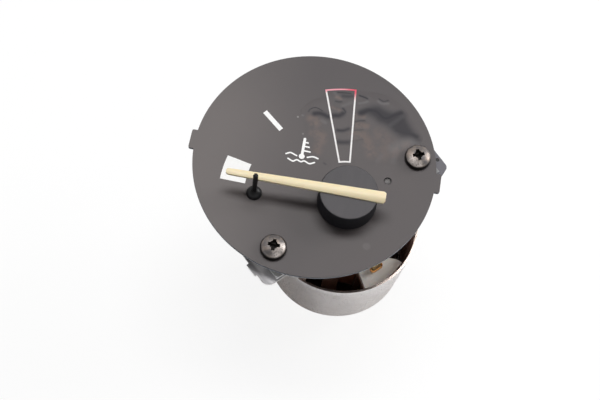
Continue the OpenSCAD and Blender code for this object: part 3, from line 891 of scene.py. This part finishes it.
def zinc():
    finish = Finish("plated_steel", (0.7, 0.7, 0.7), 0.3, metallic=1.0)
    bloom = finish.between(finish.grain(0.9, 4), 0.4, 0.75)
    finish.use("Base Color", finish.mix(bloom, (0.74, 0.75, 0.76), (0.62, 0.61, 0.59)))
    finish.use("Roughness", finish.between(bloom, 0.0, 1.0, 0.22, 0.4))
    finish.round_edges(0.06)
    return finish


def sintered():
    finish = Finish("magnet", (0.1, 0.1, 0.105), 0.55, metallic=0.6)
    pits = finish.between(finish.grain(0.2, 4), 0.35, 0.7)
    finish.use("Base Color", finish.mix(pits, (0.07, 0.07, 0.075), (0.14, 0.14, 0.145)))
    finish.relief(pits, 0.012)
    return finish


def phenolic():
    finish = Finish("base_plastic", (0.06, 0.04, 0.03), 0.4)
    flow = finish.grain(2.5, 5)
    finish.use("Base Color", finish.mix(flow, (0.04, 0.027, 0.02), (0.075, 0.05, 0.036)))
    finish.round_edges(0.1)
    finish.relief(finish.grain(0.25, 3), 0.008)
    return finish


def fibre():
    finish = Finish("fibre", (0.3, 0.13, 0.06), 0.6)
    strands = finish.grain(0.35, 4, (5, 1, 1))
    finish.use("Base Color", finish.mix(strands, (0.2, 0.075, 0.035), (0.42, 0.2, 0.1)))
    finish.round_edges(0.08)
    finish.relief(strands, 0.02)
    return finish


paint = painted_sheet()
film_paint = painted_film()
ink = white_ink()
hot_ink = wedge_ink()
cream = cream_plastic()
cap_black = cap_plastic()
peg_black = peg_plastic()
frame_grey = grey_plastic("grey_plastic", (0.17, 0.17, 0.175), (0.22, 0.22, 0.225), (0.78, 0.78, 0.78))
pip_grey = grey_plastic("pip_plastic", (0.08, 0.073, 0.072), (0.11, 0.102, 0.1), (0.2, 0.19, 0.19))
pale_nylon = nylon("natural_nylon", (0.82, 0.8, 0.75), (0.89, 0.88, 0.84))
# Dark brown nylon for the lower bobbin
dark_brown_nylon = nylon("dark_brown_nylon", (0.2, 0.125, 0.09), (0.3, 0.2, 0.15))
screw_steel = gunmetal()
can_metal = can_steel()
enamel = enamelled_copper()
copper = bare_copper()
yellow_metal = brass()
plated = zinc()
magnet = sintered()
base_brown = phenolic()
fibre_brown = fibre()

NODE_FINISHES = {
    "dial_plate": paint, "dial_screws": screw_steel, "stop_peg": peg_black, "movement_frame": frame_grey,
    "upper_bobbin": pale_nylon, "lower_bobbin": dark_brown_nylon, "upper_bush": yellow_metal,
    "thrust_bearing": yellow_metal, "bias_magnet": magnet, "shield_can": can_metal,
    "terminal_base": base_brown, "solder_tags": yellow_metal, "insulating_bushes": fibre_brown,
    "terminal_washers": plated, "terminal_nuts": yellow_metal, "pointer_needle": cream,
    "hub_cap": cap_black, "pointer_bush": yellow_metal, "spindle": plated, "rotor_magnet": magnet,
    "inner_coil": enamel, "outer_coil": enamel, "terminal_studs": yellow_metal, "wire_wraps": copper,
}
for node_name, node_finish in NODE_FINISHES.items():
    node_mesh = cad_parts[node_name].data
    node_mesh.materials.clear()
    node_mesh.materials.append(node_finish.data)


# The dial's print

def make_scale():
    """The cold block and the middle tick."""
    shape = Shape()
    block_w = BLOCK_R[1] - BLOCK_R[0]
    print_line(shape, arc(sum(BLOCK_R) / 2, *BLOCK_DIRECTIONS, 8), block_w)
    print_line(shape, [polar(r, TICK_DIRECTION) for r in TICK_R], TICK_W)
    shape.piece("scale_print", "gauge", ink)


def make_film():
    """The blistered film under the wedge, let into the paint along its rim."""
    outline = smooth_path(FILM_OUTLINE, FILM_STEPS, closed=True)
    rows = []
    for i in range(1, FILM_RINGS + 1):
        rows.append([FILM_CENTRE.lerp(spot, i / FILM_RINGS) for spot in outline])
    dark, pale, warm, height = film_fields(np.array([spot[:2] for row in rows for spot in row]))
    heights = iter(height)
    for row in rows:
        for spot in row:
            spot.z = DIAL_Z + next(heights)
    for row in (rows[-1], rows[0]):
        rows.append([Vector((spot.x, spot.y, DIAL_Z - FILM_FOOT)) for spot in row])
    shape = Shape()
    shape.grid(rows, wrap_columns=True, caps=True)
    below = np.zeros(2 * len(outline))
    # The film's painted shade (dark), painted highlights (pale) and painted warm reflections (warm)
    tints = {"dark": dark, "pale": pale, "warm": warm}
    tints = {tint: np.concatenate([values, below]) for tint, values in tints.items()}
    shape.piece("film", "gauge", film_paint, smooth=True, tints=tints)


def make_wedge():
    """The outlined wedge at the hot end, over the film."""
    shape = Shape()
    low, high = WEDGE_DIRECTIONS
    path = arc(WEDGE_R[1], low, high, 24) + arc(WEDGE_R[0], high, low, 8)
    path = fine_path(path, WEDGE_POINT_STEP)
    print_line(shape, path, WEDGE_LINE_W, closed=True, lift=WEDGE_LIFT, rises=film_rise)
    shape.piece("wedge_print", "gauge", hot_ink)


def make_pictogram():
    """The thermometer in its waves."""
    shape = Shape()
    print_line(shape, [flat(spot) for spot in STEM], STEM_W, round_ends=True, lift=STEM_LIFT)
    bulb = flat(BULB_AT)
    dot = [bulb, bulb + Vector((BULB_LENGTH, 0.0, 0.0))]
    print_line(shape, dot, BULB_D, round_ends=True, lift=BULB_LIFT)
    for end_x, y in MARK_ENDS:
        print_line(shape, [flat((MARK_START_X, y)), flat((end_x, y))], MARK_W, round_ends=True)
    for wave in WAVES:
        print_line(shape, smooth_path(wave), WAVE_W, round_ends=True, lift=WAVE_LIFT, rises=film_rise)
    shape.piece("thermometer_print", "gauge", ink)


# The wire and the threads, in place of plain solids

def winding_profile(dice):
    """Points round a winding's section: how far out from its core, from 0 to 1, and how far across.
    A row of turns shows on its outer face and on both sides."""
    half = COIL_W / 2
    steps_out = 4 * round(COIL_T / COIL_WIRE_D)
    steps_across = 4 * round(COIL_W / COIL_WIRE_D)
    profile = [(0.0, -half), (0.0, half)]
    for i in range(1, steps_out):
        profile.append((i / steps_out, half - COIL_DENTS[i % 4] - dice.uniform(0.0, COIL_UNEVEN)))
    for i in range(steps_across + 1):
        dent = COIL_DENTS[i % 4] + dice.uniform(0.0, COIL_UNEVEN)
        profile.append((1.0 - dent / COIL_T, (half - COIL_SKIN_INSET) * (1 - 2 * i / steps_across)))
    for i in range(1, steps_out):
        profile.append((1 - i / steps_out, -half + COIL_DENTS[i % 4] + dice.uniform(0.0, COIL_UNEVEN)))
    return profile


def make_windings(name, node, core_half_h, across_x):
    """The two halves of a split coil, with the turns of its wire."""
    shape = Shape()
    core = rounded_loop(COIL_CORE_HALF_W, core_half_h, COIL_CORNER_R[0])
    skin = rounded_loop(COIL_CORE_HALF_W + COIL_T, core_half_h + COIL_T, COIL_CORNER_R[1])
    profile = winding_profile(random.Random(COIL_SEED))
    for side in (-COIL_SIDE, COIL_SIDE):
        rows = []
        for (core_x, core_z), (skin_x, skin_z) in zip(core, skin):
            row = []
            for share, across in profile:
                x = core_x + (skin_x - core_x) * share
                y = side + across
                z = COIL_MIDDLE_Z + core_z + (skin_z - core_z) * share
                row.append(Vector((-y, x, z)) if across_x else Vector((x, y, z)))
            rows.append(row)
        shape.grid(rows, wrap_rows=True, wrap_columns=True)
    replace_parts(shape.piece(name, "gauge", enamel, smooth=True), node)


def thread_radius(z, turn):
    """The radius of the studs' thread at a height and a share of a turn, within its chamfer."""
    phase = abs((z / THREAD_PITCH - turn) % 1.0 * 2 - 1)
    flank = min(max((phase - THREAD_CREST) / THREAD_FLANK, 0.0), 1.0)
    return min(STUD_THREAD_R - THREAD_DEPTH * flank, STUD_THREAD_R - THREAD_CHAMFER + z - STUD_LOW_Z)


def stud_rings():
    """Heights up a stud with the radii round it at each: its thread, its shank and its head."""
    rings = []
    for i in range(THREAD_STEPS + 1):
        z = STUD_LOW_Z * (1 - i / THREAD_STEPS)
        rings.append((z, [thread_radius(z, j / THREAD_SIDES) for j in range(THREAD_SIDES)]))
    neck = STUD_TOP_Z - STUD_HEAD_H
    shank = ((0.0, STUD_SHANK_R), (neck, STUD_SHANK_R))
    head = ((neck, STUD_HEAD_R), (STUD_TOP_Z, STUD_HEAD_R))
    for z, r in shank + head:
        rings.append((z, [r] * THREAD_SIDES))
    return rings


def make_studs():
    """The terminal studs with their threads."""
    shape = Shape()
    for direction in STUD_DIRECTIONS:
        turned(shape, polar(STUD_AT, direction), stud_rings())
    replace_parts(shape.piece("stud_threads", "gauge", yellow_metal, smooth=True), "terminal_studs")


def make_wraps():
    """The coils' ends, wound round the solder tags."""
    shape = Shape()
    loop = rounded_loop(*WRAP_HALF, WRAP_CORNER_R)
    count = len(loop) * WRAP_TURNS
    low = WRAP_LOW_Z + WRAP_WIRE_R
    rise = WRAP_TOP_Z - WRAP_WIRE_R - low
    for direction in STUD_DIRECTIONS:
        turn = Matrix.Rotation(math.radians(direction), 3, "Z")
        path = []
        for i in range(count + 1):
            out, across = loop[i % len(loop)]
            path.append(turn @ Vector((WRAP_AT + out, across, low + rise * i / count)))
        tube(shape, path, WRAP_WIRE_R)
    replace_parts(shape.piece("wire_turns", "gauge", copper, smooth=True), "wire_wraps")


# What fills the small holes

def make_ear_shade_plugs():
    """Near-black plugs in the holes near the ears' edges, a little below the sheet's face, as painted
    shade in the holes.
    """
    shape = Shape()
    heights = (EAR_TOP_Z - EAR_T, EAR_TOP_Z - EAR_SHADE_PLUG_SINK)
    for direction in EAR_DIRECTIONS:
        axis = Matrix.Rotation(math.radians(direction), 3, "Z") @ flat(EAR_HOLE_AT)
        turned(shape, axis, [(z, [EAR_SHADE_PLUG_R] * EAR_SHADE_PLUG_SIDES) for z in heights])
    shape.piece("ear_shade_plugs", "gauge", peg_black)


def make_pip():
    """The end of the pip in the dial's sight hole, with a rounded edge."""
    low, high = PIP_Z
    profile = (
        (low, PIP_R), (high - PIP_EDGE_R, PIP_R), (high - PIP_EDGE_CUT, PIP_R - PIP_EDGE_CUT),
        (high, PIP_R - PIP_EDGE_R),
    )
    shape = Shape()
    turned(shape, flat(PIP_AT), [(z, [r] * PIP_SIDES) for z, r in profile])
    shape.piece("sight_pip", "gauge", pip_grey, smooth=True)


make_scale()
make_film()
make_wedge()
make_pictogram()
make_windings("inner_windings", "inner_coil", INNER_CORE_HALF_H, across_x=False)
make_windings("outer_windings", "outer_coil", OUTER_CORE_HALF_H, across_x=True)
make_studs()
make_wraps()
make_ear_shade_plugs()
make_pip()


# Stage

WHITE = (1.0, 1.0, 1.0, 1.0)


def look_from(target, distance, direction, elevation, roll):
    """Place and turn of a camera or lamp that looks at a target from a direction."""
    back = polar(1.0, direction) * math.cos(math.radians(elevation))
    back.z = math.sin(math.radians(elevation))
    place = Vector(target) + back * distance
    turn = back.to_track_quat("Z", "Y").to_matrix() @ Matrix.Rotation(math.radians(roll), 3, "Z")
    return Matrix.LocRotScale(place * MM, turn.to_quaternion(), None)


def make_camera():
    data = bpy.data.cameras.new("camera")
    data.lens = CAMERA_LENS
    data.sensor_width = CAMERA_SENSOR_W
    data.clip_start = CAMERA_CLIP_START * MM
    camera = bpy.data.objects.new("camera", data)
    camera.matrix_world = look_from(
        CAMERA_TARGET, CAMERA_DISTANCE, CAMERA_DIRECTION, CAMERA_ELEVATION, CAMERA_ROLL
    )
    bpy.context.scene.collection.objects.link(camera)
    bpy.context.scene.camera = camera


def make_softbox(name, direction, elevation, distance, width, height, radiance):
    """A lamp aimed at the dial. A radiance of 1 looks as bright as white paper."""
    data = bpy.data.lights.new(name, "AREA")
    data.shape = "RECTANGLE"
    data.size = width * MM
    data.size_y = height * MM
    data.energy = radiance * math.pi * data.size * data.size_y
    lamp = bpy.data.objects.new(name, data)
    lamp.matrix_world = look_from((0.0, 0.0, DIAL_Z), distance, direction, elevation, 0.0)
    bpy.context.scene.collection.objects.link(lamp)


def ray_kind(tree, *names):
    """A socket that is 1 for rays of any of the named kinds."""
    path = add_node(tree, "LightPath", {})
    seen = path.outputs[names[0]]
    for name in names[1:]:
        seen = add_node(tree, "Math", {0: seen, 1: path.outputs[name]}, operation="MAXIMUM").outputs[0]
    return seen


def make_world(ambient, zenith, fall):
    """Soft light all round. Where it is seen it is white, and it falls to a grey overhead between two
    elevations."""
    world = bpy.data.worlds.new("studio")
    world.use_nodes = True
    tree = world.node_tree
    light = tree.nodes["Background"]
    light.inputs["Color"].default_value = WHITE
    light.inputs["Strength"].default_value = ambient
    way = add_node(tree, "TexCoord", {}).outputs["Generated"]
    height = add_node(tree, "SeparateXYZ", {0: way}).outputs[2]
    low, high = (math.sin(math.radians(elevation)) for elevation in fall)
    levels = {"Value": height, "From Min": low, "From Max": high, "To Min": 1.0, "To Max": zenith}
    level = add_node(tree, "MapRange", levels, interpolation_type="SMOOTHSTEP").outputs["Result"]
    shown = add_node(tree, "Background", {"Color": WHITE, "Strength": level})
    seen = ray_kind(tree, "Is Camera Ray", "Is Glossy Ray", "Is Transmission Ray")
    mix = add_node(tree, "MixShader", {0: seen, 1: light.outputs[0], 2: shown.outputs[0]})
    tree.links.new(mix.outputs[0], tree.nodes["World Output"].inputs["Surface"])
    bpy.context.scene.world = world


def floor_look(tree, keep, glow):
    """A shader that glows, and keeps a share of the light and shadow on it."""
    shaded = add_node(tree, "BsdfDiffuse", {"Color": (keep, keep, keep, 1.0)})
    glowing = add_node(tree, "Emission", {"Strength": glow})
    return add_node(tree, "AddShader", {0: shaded.outputs[0], 1: glowing.outputs[0]}).outputs[0]


def floor_material():
    """Pale. Where it is seen it is white outside the object's shadow, and metal mirrors a deeper
    shadow than the camera sees."""
    data = bpy.data.materials.new("floor")
    data.use_nodes = True
    tree = data.node_tree
    plain = tree.nodes["Principled BSDF"]
    plain.inputs["Base Color"].default_value = (0.8, 0.8, 0.8, 1.0)
    plain.inputs["Roughness"].default_value = 0.9
    views = (
        (ray_kind(tree, "Is Glossy Ray", "Is Transmission Ray"), floor_look(tree, keep=1.0, glow=0.0)),
        (ray_kind(tree, "Is Camera Ray"), floor_look(tree, keep=0.14, glow=0.88)),
    )
    look = plain.outputs[0]
    for kind, other in views:
        look = add_node(tree, "MixShader", {0: kind, 1: look, 2: other}).outputs[0]
    tree.links.new(look, tree.nodes["Material Output"].inputs["Surface"])
    return data


def make_floor(size):
    """A plain pale floor under the studs."""
    half = size / 2 * MM
    mesh = bpy.data.meshes.new("floor")
    corners = [(-half, -half), (half, -half), (half, half), (-half, half)]
    mesh.from_pydata([(x, y, FLOOR_Z * MM) for x, y in corners], [], [(0, 1, 2, 3)])
    mesh.materials.append(floor_material())
    floor = bpy.data.objects.new("floor", mesh)
    bpy.context.scene.collection.objects.link(floor)


make_camera()
make_world(ambient=0.15, zenith=0.33, fall=(20, 52))
make_floor(size=6000)
make_softbox("key", direction=101, elevation=69, distance=600, width=440, height=170, radiance=9.5)
make_softbox("right_fill", direction=35, elevation=27, distance=600, width=300, height=300, radiance=6.9)
make_softbox("front_fill", direction=-50, elevation=42, distance=600, width=300, height=300, radiance=0.8)
bpy.context.scene.view_settings.view_transform = "Standard"
